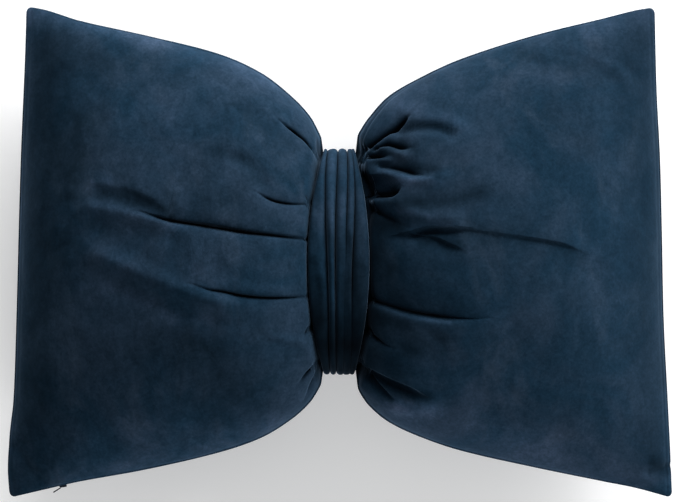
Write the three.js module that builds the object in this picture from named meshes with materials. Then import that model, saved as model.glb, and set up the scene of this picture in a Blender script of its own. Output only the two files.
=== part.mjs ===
// Bow cushion: a filled, rectangular velvet cover drawn in at its middle by a pleated band into a bow.
// It lies on its back. Millimetres, +Z up from the surface, +X along the bow, +Y towards its upper edge.
// The origin is on the surface, in the middle of the cushion's outline.
import * as THREE from "three";
import { mergeVertices } from "three/addons/utils/BufferGeometryUtils.js";

const { lerp, smoothstep, clamp, degToRad } = THREE.MathUtils;

// The cushion's heights: its edge seam above the surface, and each lobe's crown above and below that seam.
const SEAM_HEIGHT = 64;
const CROWN_UP = 75;
const CROWN_DOWN = 75;
const SEAM_HALF_THICKNESS = 1.3;
const SEAM_ROLL = 1.2;
const END_DROOP = 9;
const CORNER_DROOP = 7;
const CONTACT_ROUNDING = 5;

// The gathered waist, and the band round it.
const WAIST_Y = -9.6;
const BAND_HALF_HEIGHT = 101.6;
const BAND_FRONT = 50;
const BAND_BACK = 45;
const BAND_THICKNESS = 6.4;
const BAND_GAP = 0.5;
const BAND_HALF_WIDTH_AT_EDGE = 14;
const BAND_HALF_WIDTH = { left: 28, right: 26.5, back: 21 };
const BAND_ROUNDNESS = 2.15;
const WAIST_HALF_HEIGHT = BAND_HALF_HEIGHT - BAND_THICKNESS - BAND_GAP - SEAM_ROLL;
const SIDES = {
  front: { crown: CROWN_UP, rim: BAND_FRONT - BAND_THICKNESS - BAND_GAP },
  back: { crown: CROWN_DOWN, rim: BAND_BACK - BAND_THICKNESS - BAND_GAP },
};

// How the lobes swell from the waist and close at the end seams. Shares of the way from the band to the end.
const SWELL_END = 0.4;
const SWELL_POWER = 2.2;
const CLOSING_POWER = 3.2;
const CLOSING_ROUNDNESS = 0.7;
const LENS_POWER = 1.35;
const CORNER_RADIUS = 4.5;

// How far each lobe swells up right beside the band, and the share of its length in which it does.
const BRIM = { left: 8, right: 2 };
const BRIM_REACH = 0.003;

// Mesh steps.
const LOBE_COLUMNS = 27;
const WAIST_COLUMNS = 4;
const ROWS = 46;
const BAND_STATIONS = 72;
const ROW_PULL = 2.6;
const PULL_REACH = 0.034;
const PLEAT_STEPS = [-1, -0.75, -0.25, 0.25, 0.75];
const BAND_INNER_SHARES = [0.92, 0.5, 0, -0.5, -0.92];

// The edge seam as the front shows it, from the band out to each corner. Columns: x, y.
const SEAM_LINE = {
  left: {
    upper: [[-14, 94], [-19.4, 106], [-27, 120], [-42.9, 137.4], [-70, 158.6], [-108, 176],
      [-173, 192.7], [-235, 206.8], [-265, 216.5], [-284, 220.3]],
    lower: [[-14, -112], [-19.4, -123], [-27, -135], [-42.9, -149.8], [-70, -166.6], [-108, -180],
      [-173, -195.4], [-235, -207], [-265, -214], [-300, -222.5]],
  },
  right: {
    upper: [[14, 97], [19.4, 107.5], [27, 119], [43.8, 137.5], [71, 153.9], [109, 171.5],
      [174, 192.6], [239, 209], [268, 216.5], [286, 219.5]],
    lower: [[14, -115], [19.4, -127], [27, -138], [43.8, -152.2], [71, -165.4], [109, -178.4],
      [174, -193.4], [239, -207], [268, -213], [300, -222]],
  },
};

// The end seams, lower corner to upper corner. Columns: y, x.
const END_LINE = {
  left: [[-222.5, -297.5], [-198, -299], [-165, -297], [-135, -293.5], [-62, -290.6], [82, -286.6],
    [172, -283.2], [220.3, -282]],
  right: [[-222, 300], [-180, 298], [-135, 295.5], [-62, 291.6], [10, 290], [82, 288.3],
    [145, 285.4], [219.5, 284]],
};

// Folds that run out from the band: a valley with a shoulder above it and one below it, and a tuck along its
// bottom. start is the share of its depth at the band, deepest the share of its path where it is deepest.
const FRONT_FOLDS = [
  { path: [[-17.6, 83], [-27.6, 97.3], [-35.7, 104.3], [-47.7, 112.3], [-56.7, 119]],
    depth: 4, above: 6, below: 4, start: 0.4, deepest: 0.5, tuck: 4 },
  { path: [[-16, 84], [-18.6, 97], [-20.6, 105]],
    depth: 3, above: 3, below: 4, start: 0.8, deepest: 0.3, tuck: 2 },
  { path: [[-27.6, 41], [-43.8, 41.6], [-55.8, 44], [-65.8, 48], [-75, 53]],
    depth: 3.5, above: 6, below: 3.5, start: 0.4, deepest: 0.55, tuck: 3.5 },
  { path: [[-27.6, 10], [-43.8, 12], [-63.7, 14.5], [-84, 17], [-104, 20.5], [-124, 23.5], [-149, 27]],
    depth: 5.5, above: 7, below: 4, start: 0.3, deepest: 0.55, tuck: 7 },
  { path: [[-28.6, -40.3], [-43.8, -41.3], [-63.7, -41.6], [-84, -39.8], [-101, -36], [-131, -28]],
    depth: 4.5, above: 7, below: 4, start: 0.35, deepest: 0.4, tuck: 6 },
  { path: [[-23.7, -67.4], [-28.6, -71.4], [-31.7, -76.5]],
    depth: 2.5, above: 4, below: 4, start: 0.9, deepest: 0.3, tuck: 2 },
  { path: [[-16.5, -99], [-26, -108], [-38, -119]],
    depth: 3.5, above: 4, below: 4, start: 0.8, deepest: 0.4, tuck: 3 },
  { path: [[-17, -106], [-24, -120], [-32, -134]],
    depth: 3, above: 4, below: 4, start: 0.8, deepest: 0.4, tuck: 2.4 },
  { path: [[17.6, 88.6], [34.8, 102], [50.2, 112], [62, 121]],
    depth: 8, above: 6, below: 4, start: 0.7, deepest: 0.8, tuck: 4 },
  { path: [[29.4, 91], [41, 95], [53, 92], [64, 91]],
    depth: 8, above: 6, below: 4, start: 0.6, deepest: 0.6, tuck: 2 },
  { path: [[18, 83], [30.3, 84], [44, 84.5]],
    depth: 7, above: 4, below: 4, start: 1, deepest: 0.5, tuck: 2 },
  { path: [[33, 75], [50, 73], [61, 70.5], [70, 68]],
    depth: 8, above: 7, below: 4, start: 0.6, deepest: 0.6, tuck: 1 },
  { path: [[23, 49.5], [38, 49.5], [46, 51], [54, 57]],
    depth: 12, above: 11, below: 4, start: 1, deepest: 0.7, tuck: 3 },
  { path: [[26, 36], [41, 29], [60, 20]],
    depth: 9, above: 9, below: 5, start: 1, deepest: 0.4, tuck: 0 },
  { path: [[24.8, -44.3], [40.8, -49], [57.4, -54.5], [71.8, -58], [93.5, -61.7], [118, -60.5], [131, -58]],
    depth: 9, above: 11, below: 4, start: 0.6, deepest: 0.5, tuck: 5 },
  { path: [[20.3, -70], [32, -78.6], [47.4, -84], [59, -87], [71, -90]],
    depth: 7, above: 8, below: 3.5, start: 1, deepest: 0.5, tuck: 2 },
  { path: [[24.8, -113], [37.2, -125], [50.4, -135]],
    depth: 3.5, above: 3, below: 4, start: 0.9, deepest: 0.5, tuck: 2 },
];
const BACK_FOLD = { start: 0.7, deepest: 0.35 };
const BACK_FOLDS = [
  { ...BACK_FOLD, path: [[-18, 76], [-36, 92], [-56, 106]], depth: 6, above: 9, below: 9, tuck: 3 },
  { ...BACK_FOLD, path: [[-21, 40], [-50, 48], [-86, 56]], depth: 7, above: 11, below: 11, tuck: 3 },
  { ...BACK_FOLD, path: [[-22, 4], [-60, 8], [-110, 4]], depth: 9, above: 12, below: 12, tuck: 4 },
  { ...BACK_FOLD, path: [[-22, -36], [-54, -43], [-92, -54]], depth: 7, above: 11, below: 11, tuck: 3 },
  { ...BACK_FOLD, path: [[-18, -86], [-36, -104], [-56, -120]], depth: 6, above: 9, below: 9, tuck: 3 },
  { ...BACK_FOLD, path: [[18, 72], [38, 90], [60, 104]], depth: 6, above: 9, below: 9, tuck: 3 },
  { ...BACK_FOLD, path: [[21, 34], [52, 42], [94, 46]], depth: 8, above: 11, below: 11, tuck: 3 },
  { ...BACK_FOLD, path: [[22, -10], [62, -9], [114, -14]], depth: 9, above: 12, below: 12, tuck: 4 },
  { ...BACK_FOLD, path: [[21, -52], [50, -62], [84, -76]], depth: 7, above: 11, below: 11, tuck: 3 },
  { ...BACK_FOLD, path: [[17, -90], [34, -108], [54, -122]], depth: 6, above: 9, below: 9, tuck: 3 },
];
const TUCK_HALF_WIDTH = 3;

// Ledges: the cloth drops from a sharp lip, which the path follows, within fall, and comes back within back.
const FRONT_LEDGES = [
  { path: [[21, 68], [36, 67], [48, 64], [56, 56]], depth: 4, fall: 5, back: 6, start: 1, deepest: 0.8 },
  { path: [[38, 12], [57, 16], [74.5, 20.5], [90, 21.8], [111, 21], [126, 17]],
    depth: 6, fall: 4, back: 6, start: 0, deepest: 0.5 },
  { path: [[98, 21.5], [126, 17], [143, 14.8], [166, 12], [196.5, 6.5], [217, -3]],
    depth: 3, fall: 3, back: 5, start: 0.4, deepest: 0.8 },
  { path: [[70, 14], [84, 12], [100, 5], [112, -2]], depth: 3, fall: 5, back: 5, start: 0.6, deepest: 0.5 },
  { path: [[16.7, -99], [28.5, -107], [41, -114.5], [57.4, -123.5], [70, -128.5], [86, -131.5]],
    depth: 8, fall: 4.5, back: 4.5, start: 0.9, deepest: 0.55 },
  { path: [[-205, 57], [-182, 53], [-163, 44], [-147, 30]],
    depth: 3.5, fall: 6, back: 6, start: 0.4, deepest: 0.6 },
];

// Soft hollows in the filling, and ridges where the depth is below zero.
const FRONT_HOLLOWS = [
  { path: [[-222, 40], [-184, 32], [-157, 26]], depth: -2, width: 6 },
  { path: [[-212, 22], [-175, 17], [-145, 10]], depth: 1.4, width: 8 },
  { path: [[-207, -4], [-180, -17], [-153, -29], [-126, -40], [-104, -47]], depth: -4.5, width: 10 },
  { path: [[-195, -32], [-165, -44], [-135, -53], [-108, -58]], depth: 2.5, width: 11 },
  { path: [[-92, 82], [-72, 72], [-66, 60]], depth: 2.2, width: 6 },
  { path: [[-88, 127], [-70, 120], [-58, 112]], depth: 1.8, width: 6 },
  { path: [[52, 110], [65.5, 114], [82, 116], [91, 112], [100, 105]], depth: 4.2, width: 4.5 },
  { path: [[36, 91], [46.5, 89], [57.4, 84]], depth: -1.8, width: 3 },
  { path: [[34.8, 68.5], [50.2, 67.5], [61, 64], [75.5, 62], [91, 65]], depth: -2.4, width: 5 },
  { path: [[50, 42], [62, 35], [80, 30], [100, 28]], depth: -2.4, width: 7 },
  { path: [[77, -69.6], [88, -78.6]], depth: 1.5, width: 5 },
  { path: [[196, 178], [222, 168], [246, 152]], depth: 1.8, width: 6 },
];

// The grooves between the band's pleats, left to right, at five stations down its front: its upper edge, a
// quarter down, the middle, three quarters down, its lower edge. Columns: share of the half width, depth.
const BAND_GROOVES = [
  { at: [-0.77, -0.51, -0.38, -0.39, -0.6], depth: [2, 4.6, 5, 3.4, 2.6] },
  { at: [-0.1, -0.13, -0.13, -0.13, -0.2], depth: [3.2, 4.8, 5, 3.8, 3] },
  { at: [0.49, 0.29, 0.22, 0.2, 0.3], depth: [3, 3.2, 0.8, 0.6, 2] },
  { at: [0.72, 0.56, 0.43, 0.45, 0.68], depth: [1.2, 3.4, 3.6, 1.6, 1.6] },
];
const BAND_EDGE_DEPTH = { left: 1.6, right: 3.8 };
const BACK_GROOVE_NARROWING = 0.8;

// The zip in the lower edge seam of the left lobe: its slider, and the tab it is pulled by.
const ZIP_SLIDER = { x: -250, length: 5, width: 3, thickness: 3, outwards: 1.9, below: 3.3 };
const ZIP_PULL = { length: 7.5, width: 3.2, thickness: 1.1, heading: 212, droop: 10 };

const VELVET = new THREE.MeshStandardMaterial({ color: 0x16283a, roughness: 0.85, metalness: 0 });
const BAND_VELVET = new THREE.MeshStandardMaterial({ color: 0x15263a, roughness: 0.85, metalness: 0 });
const ZIP_METAL = new THREE.MeshStandardMaterial({ color: 0x12202e, roughness: 0.45, metalness: 0.6 });

// A smooth curve through a table of [input, output] rows, with its inputs in rising or falling order.
function curveThrough(rows) {
  const table = [...rows].sort((a, b) => a[0] - b[0]);
  const slope = table.map((row, i) => {
    const before = table[Math.max(0, i - 1)];
    const after = table[Math.min(table.length - 1, i + 1)];
    return (after[1] - before[1]) / (after[0] - before[0]);
  });
  return (input) => {
    const x = clamp(input, table[0][0], table.at(-1)[0]);
    const i = Math.min(table.length - 2, Math.max(0, table.findIndex((row) => row[0] >= x) - 1));
    const [x0, y0] = table[i];
    const [x1, y1] = table[i + 1];
    const h = x1 - x0;
    const s = (x - x0) / h;
    return (
      y0 * (1 + 2 * s) * (1 - s) ** 2 + y1 * s * s * (3 - 2 * s) +
      h * (slope[i] * s * (1 - s) ** 2 - slope[i + 1] * s * s * (1 - s))
    );
  };
}

const LOBES = Object.fromEntries(
  ["left", "right"].map((name) => [
    name,
    {
      sign: name === "left" ? -1 : 1,
      upper: curveThrough(SEAM_LINE[name].upper),
      lower: curveThrough(SEAM_LINE[name].lower),
      end: curveThrough(END_LINE[name]),
      cornerLow: END_LINE[name][0][0],
      cornerHigh: END_LINE[name].at(-1)[0],
    },
  ]),
);

// The band's half width at an angle round the loop: 0 is the middle of the front, a quarter turn its upper end.
function bandHalfWidth(lobe, angle, side) {
  const widest = side === "front" ? BAND_HALF_WIDTH[lobe] : BAND_HALF_WIDTH.back;
  return lerp(BAND_HALF_WIDTH_AT_EDGE, widest, Math.cos(angle) ** 2);
}

// The height of the edge seam, which droops towards the ends and most at the corners.
function seamHeight(x, y) {
  const out = Math.abs(x) / 300;
  return SEAM_HEIGHT - END_DROOP * out ** 2.4 - CORNER_DROOP * out ** 3 * (y / 220) ** 2;
}

// A soft floor: a height well below the surface lies on it, and the cloth leaves it in a round.
function laidOnSurface(z) {
  if (z >= CONTACT_ROUNDING) return z;
  return z <= -CONTACT_ROUNDING ? 0 : (z + CONTACT_ROUNDING) ** 2 / (4 * CONTACT_ROUNDING);
}

// The lobe's half thickness a share v of the way from the band to the end seam.
function halfThickness(v, crown, waist) {
  const rising = 1 - (1 - Math.min(v / SWELL_END, 1)) ** SWELL_POWER;
  return lerp(waist, crown, rising) * Math.max(0, 1 - v ** CLOSING_POWER) ** CLOSING_ROUNDNESS;
}

// How far a corner's radius brings a point in along one axis. toThis and toOther are how near the point is to
// that axis's edge and to the other one, as shares of the radius.
const cornerRounding = (toThis, toOther) => CORNER_RADIUS * toThis * (1 - Math.sqrt(1 - toOther ** 2 / 2));

// A point of a lobe's smooth surface, with or without its brim beside the band. v is 0 at the band and 1 at the
// end seam. angle runs from the lower seam, -90 degrees, to the upper one.
function lobePoint(name, side, v, angle, hasBrim) {
  const lobe = LOBES[name];
  const { crown, rim } = SIDES[side];
  const across = Math.sin(angle);
  const startX = lobe.sign * (bandHalfWidth(name, angle, side) + BAND_GAP);
  const endX = lobe.end(lerp(lobe.cornerLow, lobe.cornerHigh, (across + 1) / 2));
  const cornerX = lobe.end(across > 0 ? lobe.cornerHigh : lobe.cornerLow);
  const x = lerp(startX, endX, v);
  const seamX = lerp(x, lerp(startX, cornerX, v), smoothstep(v, 0.6, 1));
  const opening = smoothstep(v, 0, 0.012);
  const upper = lerp(WAIST_Y + WAIST_HALF_HEIGHT, lobe.upper(seamX), opening);
  const lower = lerp(WAIST_Y - WAIST_HALF_HEIGHT, lobe.lower(seamX), opening);
  const y = lerp(lower, upper, (across + 1) / 2);
  const lens = lerp(1, LENS_POWER, smoothstep(v, 0, 0.45));
  const brim = hasBrim ? BRIM[name] * (1 - Math.exp(-v / BRIM_REACH)) : BRIM[name];
  const rise = halfThickness(v, crown, rim + brim) * Math.max(0, Math.cos(angle)) ** lens;
  const seam = seamHeight(x, y);
  const z = side === "front" ? seam + SEAM_HALF_THICKNESS + rise : seam - SEAM_HALF_THICKNESS - rise;
  const toEnd = clamp(1 - Math.abs(endX - x) / CORNER_RADIUS, 0, 1);
  const toEdge = clamp(1 - Math.min(upper - y, y - lower) / CORNER_RADIUS, 0, 1);
  return new THREE.Vector3(
    x - lobe.sign * cornerRounding(toEnd, toEdge),
    y - Math.sign(across) * cornerRounding(toEdge, toEnd),
    z,
  );
}

// A point of the waist under the band. along: -1 at the band's left edge, 1 at its right.
function waistPoint(side, along, angle) {
  const x = along * (bandHalfWidth(along < 0 ? "left" : "right", angle, side) + BAND_GAP);
  const rise = SEAM_HALF_THICKNESS + SIDES[side].rim * Math.cos(angle);
  const y = WAIST_Y + WAIST_HALF_HEIGHT * Math.sin(angle);
  return new THREE.Vector3(x, y, SEAM_HEIGHT + (side === "front" ? rise : -rise));
}

// Every path as a smooth line of points.
const sampled = (lines) =>
  lines.map((line) => ({
    ...line,
    points: new THREE.SplineCurve(line.path.map(([x, y]) => new THREE.Vector2(x, y))).getSpacedPoints(30),
  }));
const FOLDS = { front: sampled(FRONT_FOLDS), back: sampled(BACK_FOLDS) };
const LEDGES = { front: sampled(FRONT_LEDGES), back: [] };
const HOLLOWS = { front: sampled(FRONT_HOLLOWS), back: [] };

// The point of a line nearest to x, y: how far off it is, the share of the line up to it, and whether x, y is
// above it.
function nearestOn({ points }, x, y) {
  const offs = points.map((p) => Math.hypot(x - p.x, y - p.y));
  const away = Math.min(...offs);
  const i = offs.indexOf(away);
  const before = points[Math.max(0, i - 1)];
  const run = points[Math.min(points.length - 1, i + 1)].clone().sub(before);
  const turn = run.x * (y - points[i].y) - run.y * (x - points[i].x);
  return { away, share: i / (points.length - 1), isAbove: turn * Math.sign(run.x) > 0 };
}

// How far the folds, ledges and hollows draw the surface in at x, y.
function drawnIn(side, x, y) {
  const grown = ({ start, deepest }, share) => lerp(start, 1, smoothstep(share, 0, deepest));
  const folds = FOLDS[side].map((fold) => {
    const { away, share, isAbove } = nearestOn(fold, x, y);
    const strength = grown(fold, share) * (1 - 0.9 * smoothstep(share, fold.deepest, 1));
    return {
      valley: strength * fold.depth * Math.exp(-away / (isAbove ? fold.above : fold.below)),
      tuck: strength * fold.tuck * Math.exp(-((away / TUCK_HALF_WIDTH) ** 2)),
    };
  });
  const ledges = LEDGES[side].map((ledge) => {
    const { away, share, isAbove } = nearestOn(ledge, x, y);
    if (isAbove) return 0;
    const strength = grown(ledge, share) * (1 - smoothstep(share, ledge.deepest, 1));
    const reach = Math.min(away / ledge.fall, 1);
    const beyond = Math.max(away - ledge.fall, 0) / ledge.back;
    return (strength * ledge.depth * (reach * Math.exp(1 - reach)) ** 0.6) / (1 + beyond ** 2);
  });
  const hollows = HOLLOWS[side].map(
    (hollow) => hollow.depth * Math.exp(-((nearestOn(hollow, x, y).away / hollow.width) ** 2)),
  );
  const valley = Math.hypot(...folds.map((fold) => fold.valley));
  const tuck = Math.max(...folds.map((fold) => fold.tuck));
  return [...ledges, ...hollows].reduce((total, depth) => total + depth, valley + tuck);
}

// The lobe's surface with its folds drawn in along the surface's own normal.
function foldedPoint(name, side, v, angle) {
  const point = lobePoint(name, side, v, angle, true);
  const near = (alongV, alongAngle) =>
    lobePoint(name, side, clamp(v + alongV, 0, 1), angle + alongAngle, false);
  const step = 0.004;
  const outwards = near(step, 0).sub(near(-step, 0));
  const upwards = near(0, step).sub(near(0, -step));
  const normal = outwards.cross(upwards).normalize();
  if (normal.z < 0) normal.negate();
  const depth = drawnIn(side, point.x, point.y);
  const held = (depth < 0 ? smoothstep(v, 0, 0.02) : 1) * Math.max(0, Math.cos(angle)) ** 0.3;
  point.addScaledVector(normal, (side === "front" ? -depth : depth) * held);
  point.z = laidOnSurface(point.z);
  return point;
}

// Where a line lies across its lobe. At each of its points: the share of the way from the band to the end seam,
// and the angle.
function lineAcross(name, side, { points }) {
  const lobe = LOBES[name];
  return points.map((p) => {
    const upper = lobe.upper(p.x);
    const lower = lobe.lower(p.x);
    const angle = Math.asin(clamp((2 * p.y - upper - lower) / (upper - lower), -0.98, 0.98));
    const start = lobe.sign * bandHalfWidth(name, angle, side);
    return { v: (p.x - start) / (lobe.end(p.y) - start), angle };
  });
}

// A lobe's row angles at each share v: evenly spaced over the cloth, and drawn together along each fold and
// ledge.
function rowAngles(name, side) {
  const lines = [...FOLDS[side], ...LEDGES[side]]
    .filter((line) => Math.sign(line.path[0][0]) === LOBES[name].sign)
    .map((line) => lineAcross(name, side, line));
  const fine = Array.from({ length: 901 }, (_, i) => Math.PI * (i / 900 - 0.5));
  return (v) => {
    const pulls = lines.map((line) => ({
      angle: (line.find((spot) => spot.v >= v) ?? line.at(-1)).angle,
      pull: ROW_PULL * (1 - smoothstep(v, line.at(-1).v - 0.02, line.at(-1).v + 0.12)),
    }));
    const total = [0];
    fine.slice(1).forEach((angle) => {
      const cosine = Math.max(0, Math.cos(angle));
      const cloth = Math.hypot(205 * cosine, 95 * Math.sin(angle) * cosine ** 0.35 + 4);
      const drawn = pulls.map((line) => line.pull * Math.exp(-(((angle - line.angle) / PULL_REACH) ** 2)));
      total.push(total.at(-1) + cloth * drawn.reduce((sum, part) => sum + part, 1));
    });
    return Array.from({ length: ROWS + 1 }, (_, j) => {
      const wanted = (total.at(-1) * j) / ROWS;
      return fine[Math.max(0, total.findIndex((run) => run >= wanted - 1e-9))];
    });
  };
}

// One panel's points, in columns from its left end to its right one and rows from its lower seam to its upper.
function panelPoints(side) {
  const rows = { left: rowAngles("left", side), right: rowAngles("right", side) };
  const shares = Array.from({ length: LOBE_COLUMNS + 1 }, (_, i) => {
    const s = i / LOBE_COLUMNS;
    return s - 0.12 * Math.sin(2 * Math.PI * s);
  });
  const lobe = (name, order) =>
    order.map((v) => rows[name](v).map((angle) => foldedPoint(name, side, v, angle)));
  const atBand = { left: rows.left(0), right: rows.right(0) };
  const waist = Array.from({ length: WAIST_COLUMNS - 1 }, (_, i) => {
    const share = (i + 1) / WAIST_COLUMNS;
    const angles = atBand.left.map((angle, j) => lerp(angle, atBand.right[j], share));
    return angles.map((angle) => waistPoint(side, share * 2 - 1, angle));
  });
  return [...lobe("left", shares.toReversed()), ...waist, ...lobe("right", shares)];
}

// A closed geometry from vertices and triangles.
function closedGeometry(vertices, triangles) {
  const geometry = new THREE.BufferGeometry();
  const numbers = vertices.flatMap((p) => [p.x, p.y, p.z]);
  geometry.setAttribute("position", new THREE.Float32BufferAttribute(numbers, 3));
  geometry.setIndex(triangles.flat());
  geometry.computeVertexNormals();
  return geometry;
}

// The filled cover: a front and a back panel, joined by a thin rolled seam all round.
function cushionGeometry() {
  const vertices = [];
  const triangles = [];
  const add = (point) => vertices.push(point) - 1;
  const quad = (a, b, c, d) => triangles.push([a, b, c], [a, c, d]);
  const front = panelPoints("front").map((column) => column.map(add));
  const back = panelPoints("back").map((column) => column.map(add));
  const last = front.length - 1;
  for (let i = 0; i < last; i++)
    for (let j = 0; j < ROWS; j++) {
      quad(front[i][j], front[i + 1][j], front[i + 1][j + 1], front[i][j + 1]);
      quad(back[i][j], back[i][j + 1], back[i + 1][j + 1], back[i + 1][j]);
    }
  const range = (count) => Array.from({ length: count }, (_, i) => i);
  const rim = [
    ...range(last).map((i) => [i, 0]),
    ...range(ROWS).map((j) => [last, j]),
    ...range(last).map((i) => [last - i, ROWS]),
    ...range(ROWS).map((j) => [0, ROWS - j]),
  ];
  const atRim = (panel, k) => {
    const [i, j] = rim[(k + rim.length) % rim.length];
    return panel[i][j];
  };
  const rolled = rim.map((_, k) => {
    const run = vertices[atRim(front, k + 1)].clone().sub(vertices[atRim(front, k - 1)]);
    const out = new THREE.Vector3(run.y, -run.x, 0).normalize();
    const edge = vertices[atRim(front, k)].clone().lerp(vertices[atRim(back, k)], 0.5);
    return add(edge.addScaledVector(out, SEAM_ROLL));
  });
  rim.forEach((_, k) => {
    const next = (k + 1) % rim.length;
    quad(atRim(back, k), atRim(back, next), rolled[next], rolled[k]);
    quad(rolled[k], rolled[next], atRim(front, next), atRim(front, k));
  });
  return closedGeometry(vertices, triangles);
}

const GROOVES = BAND_GROOVES.map(({ at, depth }) => ({
  place: curveThrough(at.map((share, i) => [1 - i / 2, share])),
  depth: curveThrough(depth.map((value, i) => [1 - i / 2, value])),
}));

// The band's outer face at an angle round the loop, left to right: each pleat is a rounded ridge between two
// grooves. Each spot has its share of the half width and its height.
function pleatSpots(angle) {
  const level = Math.sin(angle);
  const narrowing = lerp(1, BACK_GROOVE_NARROWING, smoothstep(-Math.cos(angle), 0, 0.5));
  const edges = [
    { share: -1, depth: BAND_EDGE_DEPTH.left },
    ...GROOVES.map((groove) => ({ share: groove.place(level) * narrowing, depth: groove.depth(level) })),
    { share: 1, depth: BAND_EDGE_DEPTH.right },
  ];
  const pleats = edges.slice(1).flatMap((right, k) =>
    PLEAT_STEPS.map((u) => {
      const depth = u < 0 ? edges[k].depth : right.depth;
      return {
        share: lerp(edges[k].share, right.share, (u + 1) / 2),
        height: -depth * (1 - (1 - Math.abs(u) ** 2.2) ** 0.6),
      };
    }),
  );
  return [...pleats, { share: 1, height: -BAND_EDGE_DEPTH.right }];
}

// A point of the band's loop: the angle round it, the height above its outer face, and x.
function loopPoint(angle, height, x) {
  const isFront = Math.cos(angle) >= 0;
  const swell = (1 - Math.abs(Math.sin(angle)) ** BAND_ROUNDNESS) ** (1 / BAND_ROUNDNESS);
  const depth = isFront ? BAND_FRONT : BAND_BACK;
  const rise = SEAM_HALF_THICKNESS * Math.min(1, 4 * swell) + (depth + height) * swell;
  const y = WAIST_Y + (BAND_HALF_HEIGHT + height) * Math.sin(angle);
  return new THREE.Vector3(x, y, SEAM_HEIGHT + (isFront ? rise : -rise));
}

// The band: a loop of pleated cloth round the waist, widest on the front and drawn together at its two ends.
function bandGeometry() {
  const vertices = [];
  const triangles = [];
  const rings = Array.from({ length: BAND_STATIONS }, (_, k) => {
    const angle = (2 * Math.PI * k) / BAND_STATIONS;
    const side = Math.cos(angle) >= 0 ? "front" : "back";
    const inner = BAND_INNER_SHARES.map((share) => ({ share, height: -BAND_THICKNESS }));
    return [...pleatSpots(angle), ...inner].map(({ share, height }) => {
      const halfWidth = bandHalfWidth(share < 0 ? "left" : "right", angle, side);
      return vertices.push(loopPoint(angle, height, share * halfWidth)) - 1;
    });
  });
  rings.forEach((ring, k) => {
    const nextRing = rings[(k + 1) % rings.length];
    ring.forEach((at, m) => {
      const n = (m + 1) % ring.length;
      triangles.push([at, ring[n], nextRing[n]], [at, nextRing[n], nextRing[m]]);
    });
  });
  return closedGeometry(vertices, triangles);
}

// A small solid part with rounded edges, from its outline.
function trimGeometry(shape, thickness, rounding) {
  const geometry = new THREE.ExtrudeGeometry(shape, {
    depth: thickness - 2 * rounding,
    bevelThickness: rounding,
    bevelSize: rounding,
    bevelSegments: 2,
    curveSegments: 6,
  });
  geometry.translate(0, 0, rounding - thickness / 2);
  return mergeVertices(geometry.deleteAttribute("uv").deleteAttribute("normal"), 1e-4);
}

// The zip's slider: a stub wedge held under the edge seam, its nose towards the left.
function sliderGeometry() {
  const { length, width, thickness } = ZIP_SLIDER;
  const shape = new THREE.Shape();
  shape.moveTo(-length / 2, -width * 0.2);
  shape.lineTo(length / 2, -width * 0.4);
  shape.quadraticCurveTo(length * 0.6, 0, length / 2, width * 0.4);
  shape.lineTo(-length / 2, width * 0.2);
  shape.quadraticCurveTo(-length * 0.58, 0, -length / 2, -width * 0.2);
  return trimGeometry(shape, thickness, 0.5);
}

// The zip's pull: a thin drop-shaped tab, standing on edge.
function pullGeometry() {
  const { length, width, thickness } = ZIP_PULL;
  const shape = new THREE.Shape();
  shape.moveTo(0, -width * 0.2);
  shape.quadraticCurveTo(length * 0.45, -width * 0.25, length * 0.6, -width * 0.42);
  shape.absarc(length - width / 2, 0, width * 0.45, -Math.PI * 0.6, Math.PI * 0.6, false);
  shape.quadraticCurveTo(length * 0.45, width * 0.25, 0, width * 0.2);
  return trimGeometry(shape, thickness, 0.3).rotateX(Math.PI / 2);
}

function namedMesh(name, geometry, material) {
  const mesh = new THREE.Mesh(geometry, material);
  mesh.name = name;
  return mesh;
}

const slider = namedMesh("zip_slider", sliderGeometry(), ZIP_METAL);
const seamY = LOBES.left.lower(ZIP_SLIDER.x);
slider.position.set(
  ZIP_SLIDER.x,
  seamY - ZIP_SLIDER.outwards,
  seamHeight(ZIP_SLIDER.x, seamY) - ZIP_SLIDER.below,
);
slider.rotation.z = Math.atan2(LOBES.left.lower(ZIP_SLIDER.x + 3) - LOBES.left.lower(ZIP_SLIDER.x - 3), 6);

const pull = namedMesh("zip_pull", pullGeometry(), ZIP_METAL);
const toHinge = new THREE.Vector3(-ZIP_SLIDER.length * 0.52, -ZIP_SLIDER.width * 0.72, 0);
pull.position.copy(slider.position).add(toHinge);
pull.rotation.set(0, degToRad(ZIP_PULL.droop), degToRad(ZIP_PULL.heading), "ZYX");

const cushion = new THREE.Group();
cushion.add(namedMesh("cushion_body", cushionGeometry(), VELVET));
cushion.add(namedMesh("pleated_band", bandGeometry(), BAND_VELVET));
cushion.add(slider, pull);

export default cushion;
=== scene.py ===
"""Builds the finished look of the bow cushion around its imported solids: the filled velvet cover, the pleated
band round its middle, the zip's slider and pull, and the pale studio that it lies in."""

import math
from collections import namedtuple

import bpy
import numpy as np
from bpy.props import FloatProperty, FloatVectorProperty, IntProperty, PointerProperty
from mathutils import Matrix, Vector


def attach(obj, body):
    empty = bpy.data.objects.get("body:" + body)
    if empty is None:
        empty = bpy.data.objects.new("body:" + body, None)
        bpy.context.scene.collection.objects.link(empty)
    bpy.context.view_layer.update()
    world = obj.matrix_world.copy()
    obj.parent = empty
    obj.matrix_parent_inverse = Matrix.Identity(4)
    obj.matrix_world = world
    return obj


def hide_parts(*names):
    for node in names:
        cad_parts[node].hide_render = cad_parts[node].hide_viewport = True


bl_info = {
    "name": "Bow Cushion",
    "version": (1, 0, 0),
    "blender": (4, 5, 0),
    "location": "3D View > Sidebar > Bow Cushion",
    "description": "A filled velvet cushion drawn in by a pleated band into a bow",
    "category": "Add Mesh",
}

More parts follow.
